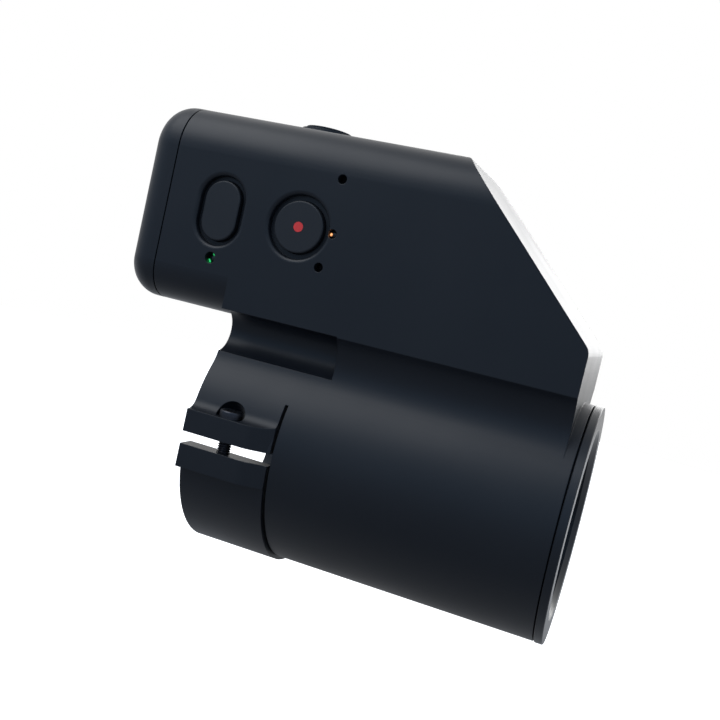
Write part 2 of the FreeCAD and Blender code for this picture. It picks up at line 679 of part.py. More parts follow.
def battery_pack():
    pack = box(-9.0, 42.0, 10.2, 18.7, 31.5, 62.5)
    long_edges = [e for e in pack.Edges if abs(e.BoundBox.XLength - 51.0) < 1e-4]
    return pack.makeFillet(2.6, long_edges)


# ---- camera module ----
def sensor_board():
    board = box(FRAME_X - 1.0, FRAME_X, -9.5, 9.0, 37.0, 58.0)
    return board.cut([rod_x(-4, 2, y, z, 0.85) for y, z in SENSOR_SCREWS])


def sensor_screws():
    screw = cross_screw(1.2, 0.7, 0.7, 2.6)
    return Part.makeCompound([aimed(screw, (FRAME_X - 1.0, y, z), (1, 0, 0)) for y, z in SENSOR_SCREWS])


def image_sensor():
    package = box(FRAME_X, FRAME_X + 1.1, -5.0, 5.0, BEAM_Z - 5.0, BEAM_Z + 5.0)
    window = box(FRAME_X + 0.8, FRAME_X + 2, -4.0, 4.0, BEAM_Z - 3.4, BEAM_Z + 3.4)
    return package.cut(window)


def ir_filter():
    return box(FRAME_X + PLATE, FRAME_X + PLATE + 0.5, -6.0, 6.0, BEAM_Z - 6.0, BEAM_Z + 6.0)


def optics_frame():
    """Two upright plates on a floor rail; they carry the sensor and the guide rods."""
    rail = box(FRAME_X, FRAME_END_X, -7.0, 7.0, INNER_LOW, INNER_LOW + 2.0)
    back = box(FRAME_X, FRAME_X + PLATE, -9.8, 9.2, INNER_LOW + 1.5, PLATE_TOP_Z)
    front = box(FRAME_END_X - PLATE, FRAME_END_X, -9.8, 9.2, INNER_LOW + 1.5, PLATE_TOP_Z)
    window = box(FRAME_X - 1, FRAME_X + PLATE + 1, -5.3, 5.3, BEAM_Z - 5.3, BEAM_Z + 5.3)
    aperture = rod_x(FRAME_END_X - PLATE - 1, FRAME_END_X + 1, 0, BEAM_Z, 9.0)
    rods = [rod_x(FRAME_X + 0.9, FRAME_END_X - 0.6, y, z, ROD_RADIUS + 0.01) for y, z in RODS]
    screws = [rod_z(INNER_LOW - 1, INNER_LOW + 3, x, 0, 0.95) for x in FRAME_SCREWS_X]
    taps = [rod_x(FRAME_X - 1, FRAME_X + 1.8, y, z, 0.72) for y, z in SENSOR_SCREWS]
    return fuse_all([rail, back, front]).cut([window, aperture] + rods + screws + taps)


def guide_rod(y, z):
    return rod_x(FRAME_X + 0.9, FRAME_END_X - 0.6, y, z, ROD_RADIUS)


def frame_screws():
    screw = cross_screw(1.6, 0.9, 0.8, 5.2)
    places = [aimed(screw, (x, 0, INNER_LOW + 2.0), (0, 0, -1)) for x in FRAME_SCREWS_X]
    return Part.makeCompound(places)


def rack_cuts():
    """Gaps between the straight-sided rack teeth; one gap faces the dial's axis."""
    pitch = math.pi * GEAR_MODULE
    slope = math.tan(math.radians(20))
    tip_y = PITCH_RADIUS - RACK_ADDENDUM
    root_y = PITCH_RADIUS + RACK_DEDENDUM
    gaps = []
    for step in range(-5, 6):
        x = DIAL_X + step * pitch
        wide = pitch / 4 + 0.04 + (PITCH_RADIUS - tip_y + 0.1) * slope
        narrow = pitch / 4 + 0.04 - (root_y - PITCH_RADIUS) * slope
        corners = [V(x - wide, tip_y - 0.1, 0), V(x + wide, tip_y - 0.1, 0),
                   V(x + narrow, root_y, 0), V(x - narrow, root_y, 0)]
        gap = prism(Part.makePolygon(corners + [corners[0]]), V(0, 0, 10))
        gap.translate(V(0, 0, RACK_LOW_Z - 4))
        gaps.append(gap)
    return gaps


def lens_carriage():
    """Ring that holds the barrel, slides on both rods and carries the focus rack."""
    ring = rod_x(CARRIAGE_START_X, CARRIAGE_END_X, 0, BEAM_Z, 7.9)
    lugs = [rod_x(CARRIAGE_START_X, CARRIAGE_END_X, y, z, 2.0) for y, z in RODS]
    webs = []
    for y, z in RODS:
        angle = math.degrees(math.atan2(z - BEAM_Z, y))
        web = box(CARRIAGE_START_X, CARRIAGE_END_X, 0, math.hypot(y, z - BEAM_Z), -1.4, 1.4)
        web.rotate(V(0, 0, 0), V(1, 0, 0), angle)
        web.translate(V(0, 0, BEAM_Z))
        webs.append(web)
    post = box(CARRIAGE_START_X, CARRIAGE_END_X, 2.6, 5.2, BEAM_Z + 5, RACK_HIGH_Z)
    arm = box(0.2, CARRIAGE_END_X, PITCH_RADIUS - RACK_ADDENDUM, 5.2, RACK_LOW_Z, RACK_HIGH_Z)
    solid = fuse_all([ring] + lugs + webs + [post, arm])
    bores = [rod_x(0, FAR, y, z, ROD_RADIUS + 0.04) for y, z in RODS]
    barrel_bore = rod_x(0, FAR, 0, BEAM_Z, BARREL_RADIUS + 0.02)
    return solid.cut([barrel_bore] + bores + rack_cuts())


def lens_barrel():
    tube = rod_x(BARREL_START_X, BARREL_END_X, 0, BEAM_Z, BARREL_RADIUS)
    nose = rod_x(CARRIAGE_END_X + 0.6, BARREL_END_X, 0, BEAM_Z, 7.0)
    nose = round_edges(nose, 0.4, lambda edge: abs(edge.BoundBox.XMin - BARREL_END_X) < 1e-4)
    bore = rod_x(0, FAR, 0, BEAM_Z, 4.4)
    front_seat = rod_x(19.2, FAR, 0, BEAM_Z, 5.2)
    rear_seat = rod_x(0, 9.0, 0, BEAM_Z, 4.9)
    return fuse_all([tube, nose]).cut([bore, front_seat, rear_seat])


def lens_element(x0, x1, radius, bulge):
    """Biconvex glass element whose rim runs from x0 to x1."""
    curve = (radius ** 2 + bulge ** 2) / (2 * bulge)
    blank = rod_x(x0 - bulge - 1, x1 + bulge + 1, 0, BEAM_Z, radius)
    front = Part.makeSphere(curve, V(x1 + bulge - curve, 0, BEAM_Z))
    back = Part.makeSphere(curve, V(x0 - bulge + curve, 0, BEAM_Z))
    return blank.common(front).common(back)


# ---- focus drive ----
def pinion_tooth_angle(radius, base):
    """Half the tooth's angle at a radius, for a 20 degree involute."""
    def involute(angle):
        return math.tan(angle) - angle
    pressure = math.radians(20)
    at_pitch = math.pi / (2 * PINION_TEETH) - 0.02
    here = math.acos(min(1.0, base / radius))
    return at_pitch + involute(pressure) - involute(here)


def focus_pinion():
    base = PITCH_RADIUS * math.cos(math.radians(20))
    tip = PITCH_RADIUS + 0.36
    root = PITCH_RADIUS - 0.42
    radii = [base + (tip - base) * i / 4.0 for i in range(5)]
    teeth = []
    for tooth in range(PINION_TEETH):
        centre = math.pi / 2 + tooth * TAU / PINION_TEETH

        def at(radius, angle):
            return V(radius * math.cos(centre + angle), radius * math.sin(centre + angle), 0)

        right = [at(r, -pinion_tooth_angle(r, base)) for r in radii]
        left = [at(r, pinion_tooth_angle(r, base)) for r in radii]
        foot = pinion_tooth_angle(base, base)
        flank_a = Part.BSplineCurve()
        flank_a.interpolate(right)
        flank_b = Part.BSplineCurve()
        flank_b.interpolate(left[::-1])
        edges = [Part.makeLine(at(root - 0.3, -foot), right[0]), flank_a.toShape(),
                 Part.Arc(right[-1], at(tip, 0), left[-1]).toShape(), flank_b.toShape(),
                 Part.makeLine(left[0], at(root - 0.3, foot)),
                 Part.makeLine(at(root - 0.3, foot), at(root - 0.3, -foot))]
        teeth.append(prism(Part.Wire(edges), V(0, 0, RACK_HIGH_Z - RACK_LOW_Z + 0.8)))
    hub = Part.makeCylinder(root, RACK_HIGH_Z - RACK_LOW_Z + 0.8)
    bore = Part.makeCylinder(0.9, 10, V(0, 0, -1))
    gear = fuse_all([hub] + teeth).cut(bore)
    gear.translate(V(DIAL_X, 0, RACK_LOW_Z - 0.4))
    return gear


def focus_shaft():
    journal = rod_z(RACK_HIGH_Z + 0.42, DIAL_TOP_Z - 1.0, DIAL_X, 0, SHAFT_RADIUS)
    spindle = rod_z(RACK_LOW_Z - 0.8, RACK_HIGH_Z + 1, DIAL_X, 0, 0.88)
    return journal.fuse(spindle).removeSplitter()


def focus_dial():
    """Low knurled dial with a coin slot across its top."""
    disc = rod_z(DIAL_FLOOR_Z + 0.1, DIAL_TOP_Z, DIAL_X, 0, DIAL_RADIUS)
    disc = round_edges(disc, 0.2, lambda edge: abs(edge.BoundBox.ZMin - DIAL_TOP_Z) < 1e-4)
    flutes = []
    count = 40
    for i in range(count):
        angle = TAU * i / count
        x = DIAL_X + (DIAL_RADIUS + 0.12) * math.cos(angle)
        y = (DIAL_RADIUS + 0.12) * math.sin(angle)
        flutes.append(rod_z(BOSS_TOP_Z + 0.1, DIAL_TOP_Z + 1, x, y, 0.3))
    coin = box(DIAL_X - 4.0, DIAL_X + 4.0, -0.6, 0.6, DIAL_TOP_Z - 0.6, DIAL_TOP_Z + 1)
    bore = rod_z(DIAL_FLOOR_Z - 1, DIAL_TOP_Z - 0.98, DIAL_X, 0, SHAFT_RADIUS + 0.01)
    return disc.cut(flutes + [coin, bore])


def torus_ring(place, direction, major, minor):
    return Part.makeTorus(major, minor, V(*place), V(*direction))


# ---- mirrors and windows ----
def uvn_box(u0, u1, v0, v1, n0, n1):
    return Part.makeBox(u1 - u0, v1 - v0, n1 - n0, V(u0, v0, n0))


def on_mirror_plane(shape):
    return slanted(shape, (1, -1), (BEAM_X, 0, BEAM_Z))


def on_splitter_plane(shape):
    return slanted(shape, (1, 1), (BEAM_X, 0, 0))


def fold_mirror():
    return on_mirror_plane(uvn_box(-13, 13, -12, 12, 0, 2))


def mirror_holder():
    plate = uvn_box(-14.5, 14.5, -14, 14, -0.6, MIRROR_BACK)
    ears = uvn_box(-4, 4, -17.6, 17.6, 2.2, MIRROR_BACK)
    pocket = uvn_box(-13.04, 13.04, -12.04, 12.04, -1, 2)
    holes = [Part.makeCylinder(0.95, 6, V(0, side * 15.9, 0)) for side in (1, -1)]
    return on_mirror_plane(fuse_all([plate, ears]).cut([pocket] + holes))


def mirror_screws():
    screw = cross_screw(1.5, 0.9, 0.8, 2.9)
    places = [aimed(screw, (0, side * 15.9, 2.2), (0, 0, 1)) for side in (1, -1)]
    return on_mirror_plane(Part.makeCompound(places))


def beamsplitter_plate():
    return on_splitter_plane(uvn_box(-20, 20, -15, 15, -0.75, 0.75))


def beamsplitter_frame():
    """Sleeve in the tube with two grooved cheeks that hold the plate at 45 degrees."""
    sleeve = ring_x(41.0, 75.2, OPTICAL_BORE_RADIUS - 0.1, 21.1)
    cheeks = []
    for side in (1, -1):
        low, high = sorted((side * 13.8, side * 22.0))
        cheek = on_splitter_plane(uvn_box(-20.5, 20.5, low, high, -2.4, 2.4))
        cheeks.append(cheek.common(rod_x(41.0, 75.2, 0, 0, 21.5)))
    groove = on_splitter_plane(uvn_box(-20.2, 20.2, -15.05, 15.05, -0.8, 0.8))
    opening = box(BEAM_X - 11, BEAM_X + 11, -10, 10, 5, 40)
    return fuse_all([sleeve] + cheeks).cut([groove, opening])


def eyepiece_ring():
    """Threaded ring that holds the rear window; the user looks through its opening."""
    flange = rod_x(RING_START_X, RING_END_X, 0, 0, RING_RADIUS)
    flange = flange.makeChamfer(0.15, flange.Edges[0:1] + flange.Edges[2:3])
    spigot = rod_x(77.75, RING_START_X + 0.5, 0, 0, 23.42)
    opening = rod_x(70, 90, 0, 0, EYE_OPENING_RADIUS)
    bevel_start = V(RING_END_X - 1.19, 0, 0)
    bevel = Part.makeCone(EYE_OPENING_RADIUS, EYE_OPENING_RADIUS + 1.2, 1.2, bevel_start, V(1, 0, 0))
    return fuse_all([flange, spigot]).cut([opening, bevel])


def clamp_screw():
    seat = WASHER_HIGH_Z + 0.03
    head = rod_z(seat, SCREW_HEAD_TOP_Z, SCREW_X, SCREW_Y, SCREW_HEAD_RADIUS)
    head = round_edges(head, 0.45, lambda edge: abs(edge.BoundBox.ZMin - SCREW_HEAD_TOP_Z) < 1e-4)
    shank = rod_z(THREAD_END_Z + 0.6, seat + 0.1, SCREW_X, SCREW_Y, SCREW_RADIUS)
    slot = box(SCREW_X - 4, SCREW_X + 4, SCREW_Y - 0.4, SCREW_Y + 0.4, SCREW_HEAD_TOP_Z - 0.65, FAR)
    return fuse_all([head, shank]).cut(slot)


def clamp_washer():
    disc = rod_z(WASHER_LOW_Z, WASHER_HIGH_Z, SCREW_X, SCREW_Y, SCREW_HEAD_RADIUS + 0.05)
    return disc.cut(rod_z(0, 10, SCREW_X, SCREW_Y, SCREW_RADIUS + 0.05))


PARTS = {
    "main_body": main_body,
    "front_cap": front_cap,
    "cap_gasket": cap_gasket,
    "front_bulkhead": front_bulkhead,
    "bulkhead_screws": bulkhead_screws,
    "port_board": port_board,
    "usb_port": usb_port,
    "card_slot": card_slot,
    "memory_card": memory_card,
    "power_button": power_button,
    "power_switch": lambda: tact_switch(POWER_X, POWER_Z),
    "power_plunger": lambda: switch_plunger(POWER_X, POWER_Z),
    "record_button": record_button,
    "record_dot": record_dot,
    "record_switch": lambda: tact_switch(RECORD_X, RECORD_Z),
    "record_plunger": lambda: switch_plunger(RECORD_X, RECORD_Z),
    "green_led": lambda: board_led(GREEN_X, GREEN_Z),
    "green_light_pipe": lambda: light_pipe(GREEN_X, GREEN_Z, GREEN_RADIUS, -20.7, 1.7),
    "amber_led": lambda: board_led(AMBER_X, AMBER_Z),
    "amber_light_pipe": lambda: light_pipe(AMBER_X, AMBER_Z, AMBER_RADIUS, -21.0, 1.25),
    "microphone": microphone,
    "microphone_mesh": lambda: rod_y(-18.94, -18.2, MIC_X, MIC_Z, 1.6),
    "vent_membrane": lambda: rod_y(-18.98, -18.6, VENT_X, VENT_Z, 2.2),
    "main_board": main_board,
    "board_screws": board_screws,
    "processor_chip": processor_chip,
    "heat_pad": heat_pad,
    "sensor_socket": sensor_socket,
    "battery_socket": battery_socket,
    "sensor_flex": sensor_flex,
    "battery_flex": battery_flex,
    "battery_pack": battery_pack,
    "sensor_board": sensor_board,
    "image_sensor": image_sensor,
    "sensor_screws": sensor_screws,
    "ir_filter": ir_filter,
    "optics_frame": optics_frame,
    "frame_screws": frame_screws,
    "lower_guide_rod": lambda: guide_rod(*RODS[0]),
    "upper_guide_rod": lambda: guide_rod(*RODS[1]),
    "lens_carriage": lens_carriage,
    "lens_barrel": lens_barrel,
    "lens_front_element": lambda: lens_element(19.5, 20.9, 5.15, 0.8),
    "lens_rear_element": lambda: lens_element(7.4, 8.5, 4.85, 0.7),
    "focus_dial": focus_dial,
    "focus_shaft": focus_shaft,
    "focus_pinion": focus_pinion,
    "dial_o_ring": lambda: torus_ring((DIAL_X, 0, 69.7), (0, 0, 1), 2.06, 0.5),
    "fold_mirror": fold_mirror,
    "mirror_holder": mirror_holder,
    "mirror_screws": mirror_screws,
    "beamsplitter_plate": beamsplitter_plate,
    "beamsplitter_frame": beamsplitter_frame,
    "front_window": lambda: rod_x(25.0, 27.0, 0, 0, OPTICAL_BORE_RADIUS - 0.1),
    "front_window_ring": lambda: ring_x(27.0, 29.6, OPTICAL_BORE_RADIUS - 0.06, 20.6),
    "rear_window": lambda: rod_x(75.5, 77.4, 0, 0, 23.3),
    "eyepiece_ring": eyepiece_ring,
    "clamp_screw": clamp_screw,
    "clamp_washer": clamp_washer,
}

os.makedirs("parts", exist_ok=True)
for name, make in PARTS.items():
    save(name, make())
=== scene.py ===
import json
import math

import bmesh
import bpy
from mathutils import Matrix, Vector


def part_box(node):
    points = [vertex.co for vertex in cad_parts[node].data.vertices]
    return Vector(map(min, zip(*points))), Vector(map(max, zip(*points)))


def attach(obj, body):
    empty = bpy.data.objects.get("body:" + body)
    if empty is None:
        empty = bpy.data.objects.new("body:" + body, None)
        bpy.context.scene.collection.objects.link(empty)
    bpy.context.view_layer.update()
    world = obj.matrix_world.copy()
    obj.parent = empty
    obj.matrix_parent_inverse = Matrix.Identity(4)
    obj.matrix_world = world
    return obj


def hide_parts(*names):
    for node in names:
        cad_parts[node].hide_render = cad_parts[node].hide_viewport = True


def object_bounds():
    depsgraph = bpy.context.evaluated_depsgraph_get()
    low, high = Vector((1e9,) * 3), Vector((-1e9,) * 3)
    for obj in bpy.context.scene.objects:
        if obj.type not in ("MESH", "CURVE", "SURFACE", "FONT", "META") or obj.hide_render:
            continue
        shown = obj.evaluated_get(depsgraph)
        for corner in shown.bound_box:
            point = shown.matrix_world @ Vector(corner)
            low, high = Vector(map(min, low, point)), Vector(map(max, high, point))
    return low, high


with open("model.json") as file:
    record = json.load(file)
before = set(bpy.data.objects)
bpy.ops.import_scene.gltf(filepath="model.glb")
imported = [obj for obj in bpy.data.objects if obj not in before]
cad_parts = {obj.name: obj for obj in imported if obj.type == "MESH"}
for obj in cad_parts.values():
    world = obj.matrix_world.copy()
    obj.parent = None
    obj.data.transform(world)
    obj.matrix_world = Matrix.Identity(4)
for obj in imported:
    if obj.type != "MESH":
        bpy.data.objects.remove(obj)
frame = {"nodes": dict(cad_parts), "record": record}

TAU = 2.0 * math.pi
MM = 0.001
CAD_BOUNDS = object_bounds()


# ---------------------------------------------------------------- camera and studio
CAMERA_AZIMUTH = math.radians(17.50)
CAMERA_ELEVATION = math.radians(4.62)
CAMERA_ROLL = math.radians(12.97)
CAMERA_DISTANCE = 0.2161
CAMERA_TARGET = Vector((0.0264, 0.0, 0.0229))
LENS_MM = 46.72
SENSOR_MM = 36.0
OVERHEAD_POWER = 1.9
BACK_POWER = 3.8
FLOOR_DROP = 0.012
FLOOR_RADIUS = 0.55
FLOOR_SIDES = 96
FLOOR_SEEN_GLOW = 0.84
FLOOR_FRONT_GLOW = 0.06
FLOOR_BACK_GLOW = 0.85
FRONT_TONE = (0.26, 0.36, 0.50)
SIDE_TONE = (0.50, 0.53, 0.57)
BACK_TONE = (0.95, 0.95, 0.95)
FLOOR_TONE = (0.17, 0.19, 0.22)


def make_camera():
    """A camera to the right of the buttons' side, rolled so that the tube falls to the right."""
    away = Vector((math.sin(CAMERA_AZIMUTH) * math.cos(CAMERA_ELEVATION),
                   -math.cos(CAMERA_AZIMUTH) * math.cos(CAMERA_ELEVATION),
                   math.sin(CAMERA_ELEVATION)))
    forward = -away
    level_right = forward.cross(Vector((0, 0, 1))).normalized()
    roll = Matrix.Rotation(-CAMERA_ROLL, 3, forward)
    right = roll @ level_right
    up = right.cross(forward)
    data = bpy.data.cameras.new("camera")
    data.lens = LENS_MM
    data.sensor_width = SENSOR_MM
    data.clip_start = 0.005
    camera = bpy.data.objects.new("camera", data)
    turn = Matrix((right, up, -forward)).transposed().to_4x4()
    camera.matrix_world = Matrix.Translation(CAMERA_TARGET + away * CAMERA_DISTANCE) @ turn
    bpy.context.scene.collection.objects.link(camera)
    bpy.context.scene.camera = camera


def add_panel(name, place, aim, width, height, power):
    """A soft box: an area light at place that faces aim."""
    data = bpy.data.lights.new(name, "AREA")
    data.shape = "RECTANGLE"
    data.size = width
    data.size_y = height
    data.energy = power
    light = bpy.data.objects.new(name, data)
    direction = Vector(aim) - Vector(place)
    light.location = place
    light.rotation_euler = direction.to_track_quat("-Z", "Y").to_euler()
    light.visible_camera = False
    bpy.context.scene.collection.objects.link(light)


def make_lights():
    add_panel("overhead_panel", (-0.26, -0.26, 0.54), (0.02, 0.0, 0.03), 0.60, 0.46, OVERHEAD_POWER)
    add_panel("back_panel", (0.14, 0.90, 0.22), (0.04, 0.0, 0.04), 0.75, 0.42, BACK_POWER)


def make_world():
    """Bright behind, dim and cool on the camera's side, and plain white to the eye."""
    world = bpy.data.worlds.new("studio")
    world.use_nodes = True
    bpy.context.scene.world = world
    nodes = world.node_tree.nodes
    links = world.node_tree.links
    background = nodes["Background"]
    coords = nodes.new("ShaderNodeTexCoord")
    split = nodes.new("ShaderNodeSeparateXYZ")
    links.new(coords.outputs["Generated"], split.inputs[0])
    ramp = nodes.new("ShaderNodeValToRGB")
    steps = ramp.color_ramp
    steps.elements[0].position = 0.0
    steps.elements[0].color = (*FRONT_TONE, 1.0)
    steps.elements[1].position = 1.0
    steps.elements[1].color = (*BACK_TONE, 1.0)
    for place, tone in ((0.30, FRONT_TONE), (0.62, SIDE_TONE), (0.85, BACK_TONE)):
        steps.elements.new(place).color = (*tone, 1.0)
    spread = nodes.new("ShaderNodeMapRange")
    spread.inputs["From Min"].default_value = -1.0
    spread.inputs["From Max"].default_value = 1.0
    links.new(split.outputs["Y"], spread.inputs["Value"])
    links.new(spread.outputs["Result"], ramp.inputs["Fac"])
    seen = nodes.new("ShaderNodeLightPath")
    mix = nodes.new("ShaderNodeMix")
    mix.data_type = "RGBA"
    links.new(seen.outputs["Is Camera Ray"], mix.inputs["Factor"])
    links.new(ramp.outputs["Color"], mix.inputs["A"])
    mix.inputs["B"].default_value = (1.0, 1.0, 1.0, 1.0)
    links.new(mix.outputs["Result"], background.inputs["Color"])
    lift = nodes.new("ShaderNodeMapRange")
    lift.interpolation_type = "SMOOTHSTEP"
    for socket, value in (("From Min", -0.30), ("From Max", 0.20), ("To Min", 0.40), ("To Max", 1.25)):
        lift.inputs[socket].default_value = value
    links.new(split.outputs["Z"], lift.inputs["Value"])
    level = nodes.new("ShaderNodeMix")
    links.new(seen.outputs["Is Camera Ray"], level.inputs["Factor"])
    links.new(lift.outputs["Result"], level.inputs["A"])
    level.inputs["B"].default_value = 1.0
    links.new(level.outputs["Result"], background.inputs["Strength"])


def make_floor():
    """Round sheet of pale paper, near white to the eye, that gives more light back behind the object."""
    low = CAD_BOUNDS[0][2] - FLOOR_DROP
    mesh = bpy.data.meshes.new("floor")
    angles = [TAU * i / FLOOR_SIDES for i in range(FLOOR_SIDES)]
    rim = [(FLOOR_RADIUS * math.cos(angle), FLOOR_RADIUS * math.sin(angle), low) for angle in angles]
    mesh.from_pydata(rim, [], [tuple(range(FLOOR_SIDES))])
    floor = bpy.data.objects.new("floor", mesh)
    bpy.context.scene.collection.objects.link(floor)
    graph = Graph("floor_paper")
    fibre = graph.noise(6.0, 3.0)
    seen = graph.node("ShaderNodeLightPath").outputs["Is Camera Ray"]
    pale = graph.blend(fibre, (0.86, 0.86, 0.87), (0.90, 0.90, 0.91))
    graph.colour(graph.blend(seen, FLOOR_TONE, pale))
    split = graph.node("ShaderNodeSeparateXYZ")
    graph.wire(graph.place, split.inputs[0])
    given = graph.between(split.outputs["Y"], FLOOR_FRONT_GLOW, FLOOR_BACK_GLOW, -0.05, 0.14)
    glow = graph.node("ShaderNodeMix")
    graph.wire(seen, glow.inputs["Factor"])
    graph.wire(given, glow.inputs["A"])
    glow.inputs["B"].default_value = FLOOR_SEEN_GLOW
    graph.wire(glow.outputs["Result"], graph.shader.inputs["Emission Strength"])
    graph.set(Roughness=0.95, Specular_IOR_Level=0.0, Emission_Color=(1.0, 1.0, 1.0, 1.0))
    mesh.materials.append(graph.material)


# ---------------------------------------------------------------- material building blocks
BROKEN_EDGE_MM = 0.22
BLACK_LOW = (0.0060, 0.0078, 0.0115)
BLACK_HIGH = (0.0090, 0.0112, 0.0155)


class Graph:
    """A Principled material with a few short calls for the textures that drive it."""

    def __init__(self, name):
        self.material = bpy.data.materials.new(name)
        self.material.use_nodes = True
        self.tree = self.material.node_tree
        self.shader = self.tree.nodes["Principled BSDF"]
        self.place = self.tree.nodes.new("ShaderNodeTexCoord").outputs["Object"]

    def node(self, kind, **values):
        made = self.tree.nodes.new(kind)
        for key, value in values.items():
            setattr(made, key, value)
        return made

    def wire(self, source, target):
        self.tree.links.new(source, target)

    def set(self, **values):
        for key, value in values.items():
            self.shader.inputs[key.replace("_", " ")].default_value = value

    def stretched(self, scale):
        """Coordinates scaled by a vector, for brushed or turned grain."""
        mapping = self.node("ShaderNodeMapping")
        mapping.inputs["Scale"].default_value = scale
        self.wire(self.place, mapping.inputs["Vector"])
        return mapping.outputs["Vector"]

    def noise(self, scale, detail=2.0, rough=0.5, place=None):
        made = self.node("ShaderNodeTexNoise")
        made.inputs["Scale"].default_value = scale
        made.inputs["Detail"].default_value = detail
        made.inputs["Roughness"].default_value = rough
        self.wire(place or self.place, made.inputs["Vector"])
        return made.outputs["Fac"]

    def cells(self, scale, feature="F1", place=None):
        made = self.node("ShaderNodeTexVoronoi", feature=feature)
        made.inputs["Scale"].default_value = scale
        self.wire(place or self.place, made.inputs["Vector"])
        return made.outputs["Distance"]

    def wave(self, scale, direction, place=None, distortion=0.0):
        made = self.node("ShaderNodeTexWave", bands_direction=direction)
        made.inputs["Scale"].default_value = scale
        made.inputs["Distortion"].default_value = distortion
        self.wire(place or self.place, made.inputs["Vector"])
        return made.outputs["Fac"]

    def between(self, value, low, high, start=0.0, end=1.0):
        made = self.node("ShaderNodeMapRange")
        made.inputs["From Min"].default_value = start
        made.inputs["From Max"].default_value = end
        made.inputs["To Min"].default_value = low
        made.inputs["To Max"].default_value = high
        self.wire(value, made.inputs["Value"])
        return made.outputs["Result"]

    def blend(self, factor, first, second):
        made = self.node("ShaderNodeMix", data_type="RGBA")
        self.wire(factor, made.inputs["Factor"])
        for value, socket in ((first, made.inputs["A"]), (second, made.inputs["B"])):
            if isinstance(value, tuple):
                socket.default_value = (*value, 1.0)
            else:
                self.wire(value, socket)
        return made.outputs["Result"]

    def sum(self, first, second, share):
        """first plus second times share."""
        made = self.node("ShaderNodeMath", operation="MULTIPLY_ADD")
        self.wire(second, made.inputs[0])
        made.inputs[1].default_value = share
        self.wire(first, made.inputs[2])
        return made.outputs[0]

    def colour(self, source):
        self.wire(source, self.shader.inputs["Base Color"])

    def rough(self, source):
        self.wire(source, self.shader.inputs["Roughness"])

    def bump(self, height, depth_mm, strength=1.0, edge_mm=0.0):
        """Fine relief, over edges that look broken by edge_mm where that is given."""
        made = self.node("ShaderNodeBump")
        if edge_mm:
            edge = self.node("ShaderNodeBevel", samples=6)
            edge.inputs["Radius"].default_value = edge_mm * MM
            self.wire(edge.outputs["Normal"], made.inputs["Normal"])
        made.inputs["Distance"].default_value = depth_mm * MM
        made.inputs["Strength"].default_value = strength
        self.wire(height, made.inputs["Height"])
        self.wire(made.outputs["Normal"], self.shader.inputs["Normal"])


def blasted_anodise(name, dark, light, rough_low, rough_high, depth_mm=0.006):
    """Bead-blasted metal under a black anodic film: fine even grain, faint cloudy tone."""
    graph = Graph(name)
    grain = graph.noise(4200.0, 3.0, 0.6)
    clouds = graph.noise(38.0, 4.0, 0.55)
    speckle = graph.sum(clouds, grain, 0.6)
    graph.colour(graph.blend(graph.between(speckle, 0.0, 1.0, 0.45, 1.15), dark, light))
    graph.rough(graph.between(graph.sum(clouds, grain, 0.5), rough_low, rough_high, 0.4, 1.1))
    graph.bump(graph.sum(grain, graph.noise(1500.0, 2.0), 0.8), depth_mm, edge_mm=BROKEN_EDGE_MM)
    graph.set(Specular_IOR_Level=0.42)
    return graph.material


def turned_anodise(name, dark, light, rough_low, rough_high):
    """Lathe-turned metal under a black film: rings round the tube's axis."""
    graph = Graph(name)
    rings = graph.wave(900.0, "X", distortion=0.6)
    grain = graph.noise(3600.0, 2.0)
    graph.colour(graph.blend(graph.noise(60.0, 3.0), dark, light))
    graph.rough(graph.between(graph.sum(grain, rings, 0.3), rough_low, rough_high, 0.3, 1.0))
    graph.bump(graph.sum(grain, rings, 0.7), 0.005)
    graph.set(Specular_IOR_Level=0.45)
    return graph.material


def moulded(name, dark, light, rough_low, rough_high, depth_mm=0.01, scale=2200.0):
    """Moulded plastic with a spark-eroded texture."""
    graph = Graph(name)
    pits = graph.cells(scale)
    clouds = graph.noise(55.0, 3.0)
    graph.colour(graph.blend(graph.sum(clouds, pits, 0.25), dark, light))
    graph.rough(graph.between(graph.sum(clouds, pits, 0.4), rough_low, rough_high, 0.3, 1.0))
    graph.bump(graph.sum(pits, graph.noise(5200.0, 2.0), 0.5), depth_mm)
    return graph.material


def rubber(name, dark, light):
    graph = Graph(name)
    dust = graph.noise(900.0, 4.0, 0.7)
    graph.colour(graph.blend(dust, dark, light))
    graph.rough(graph.between(dust, 0.62, 0.85))
    graph.bump(graph.noise(2600.0, 3.0), 0.02)
    graph.set(Specular_IOR_Level=0.3)
    return graph.material


def steel(name, dark, light, rough_low, rough_high, scale=(1.0, 1.0, 14.0)):
    """Machined steel with fine directional scratches."""
    graph = Graph(name)
    lines = graph.noise(1400.0, 4.0, 0.65, graph.stretched(scale))
    stains = graph.noise(240.0, 3.0)
    graph.colour(graph.blend(graph.sum(stains, lines, 0.3), dark, light))
    graph.rough(graph.between(lines, rough_low, rough_high, 0.3, 0.7))
    graph.bump(lines, 0.008)
    graph.set(Metallic=1.0)
    return graph.material


def glass(name, tint, ior, haze, film):
    """Glass with a very faint smear of haze under a thin coating of the tint film."""
    graph = Graph(name)
    smear = graph.noise(70.0, 4.0, 0.6, graph.stretched((1.0, 2.5, 1.0)))
    graph.colour(graph.blend(smear, tint, tuple(min(1.0, c * 1.04) for c in tint)))
    graph.rough(graph.between(smear, haze * 0.4, haze))
    graph.set(IOR=ior, Transmission_Weight=1.0)
    graph.set(Coat_Weight=0.6, Coat_Tint=(*film, 1.0), Coat_Roughness=0.03)
    return graph.material


def mirror(name):
    graph = Graph(name)
    dust = graph.noise(300.0, 5.0, 0.7)
    graph.colour(graph.blend(dust, (0.86, 0.87, 0.89), (0.92, 0.92, 0.93)))
    graph.rough(graph.between(dust, 0.01, 0.06, 0.4, 0.8))
    graph.set(Metallic=1.0)
    return graph.material


